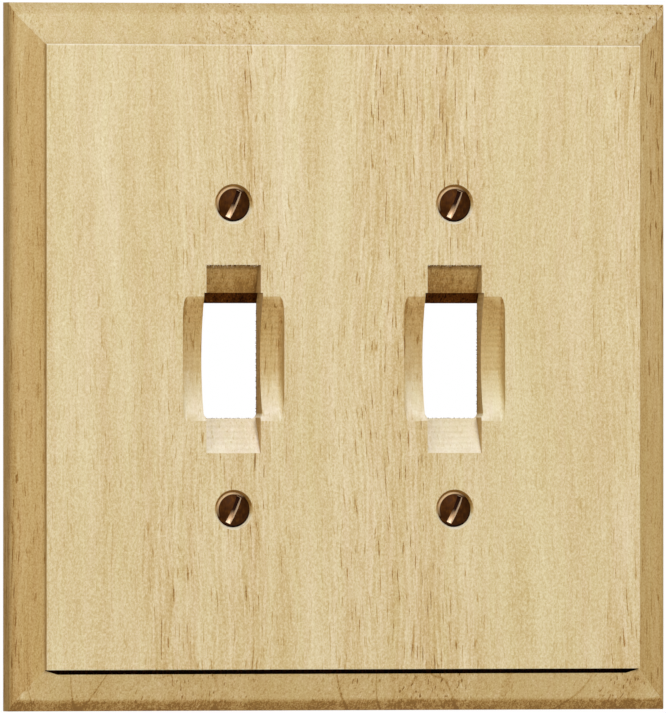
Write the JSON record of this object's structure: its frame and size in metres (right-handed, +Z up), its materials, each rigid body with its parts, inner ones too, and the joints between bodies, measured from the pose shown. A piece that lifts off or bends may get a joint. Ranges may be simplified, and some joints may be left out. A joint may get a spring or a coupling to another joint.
{
  "type": "two-gang toggle switch wall plate",
  "caption": "Unfinished wooden wall plate with bevelled borders, toggle slots with routed finger scoops, and oval-head slotted screws held by washers.",
  "frame": {"origin": "centre of the screw pattern on the plane that the back rim rests on", "axes": "+X to the right and +Z up, seen from the front; +Y into the wall, so the front faces -Y"},
  "size_m": [0.1366, 0.0201, 0.1396],
  "materials": {
    "wood": "bare sanded hardwood, no stain or varnish",
    "screw_metal": "dark antique bronze patina, brighter on worn edges",
    "washer_fibre": "vulcanised fibre"
  },
  "bodies": {
    "plate": {"wood_plate": "wood"},
    "upper_left_washer": {"upper_left_washer": "washer_fibre"},
    "upper_left_screw": {"upper_left_screw": "screw_metal"},
    "upper_right_washer": {"upper_right_washer": "washer_fibre"},
    "upper_right_screw": {"upper_right_screw": "screw_metal"},
    "lower_left_washer": {"lower_left_washer": "washer_fibre"},
    "lower_left_screw": {"lower_left_screw": "screw_metal"},
    "lower_right_washer": {"lower_right_washer": "washer_fibre"},
    "lower_right_screw": {"lower_right_screw": "screw_metal"}
  },
  "joints": [
    {"name": "upper_left_turn", "type": "hinge", "parent": "plate", "child": "upper_left_washer", "pos_m": [-0.02302, 0, 0.03017], "axis": [0, -1, 0], "range_deg": [0, 5040]},
    {"name": "upper_left_travel", "type": "slide", "parent": "upper_left_washer", "child": "upper_left_screw", "axis": [0, -1, 0], "range_m": [0, 0.01111]},
    {"name": "upper_right_turn", "type": "hinge", "parent": "plate", "child": "upper_right_washer", "pos_m": [0.02302, 0, 0.03017], "axis": [0, -1, 0], "range_deg": [0, 5040]},
    {"name": "upper_right_travel", "type": "slide", "parent": "upper_right_washer", "child": "upper_right_screw", "axis": [0, -1, 0], "range_m": [0, 0.01111]},
    {"name": "lower_left_turn", "type": "hinge", "parent": "plate", "child": "lower_left_washer", "pos_m": [-0.02302, 0, -0.03017], "axis": [0, -1, 0], "range_deg": [0, 5040]},
    {"name": "lower_left_travel", "type": "slide", "parent": "lower_left_washer", "child": "lower_left_screw", "axis": [0, -1, 0], "range_m": [0, 0.01111]},
    {"name": "lower_right_turn", "type": "hinge", "parent": "plate", "child": "lower_right_washer", "pos_m": [0.02302, 0, -0.03017], "axis": [0, -1, 0], "range_deg": [0, 5040]},
    {"name": "lower_right_travel", "type": "slide", "parent": "lower_right_washer", "child": "lower_right_screw", "axis": [0, -1, 0], "range_m": [0, 0.01111]}
  ],
  "couplings": [
    {"joint": "upper_left_turn", "follows": "upper_left_travel", "rad_per_m": 7915.8},
    {"joint": "upper_right_turn", "follows": "upper_right_travel", "rad_per_m": 7915.8},
    {"joint": "lower_left_turn", "follows": "lower_left_travel", "rad_per_m": 7915.8},
    {"joint": "lower_right_turn", "follows": "lower_right_travel", "rad_per_m": 7915.8}
  ]
}
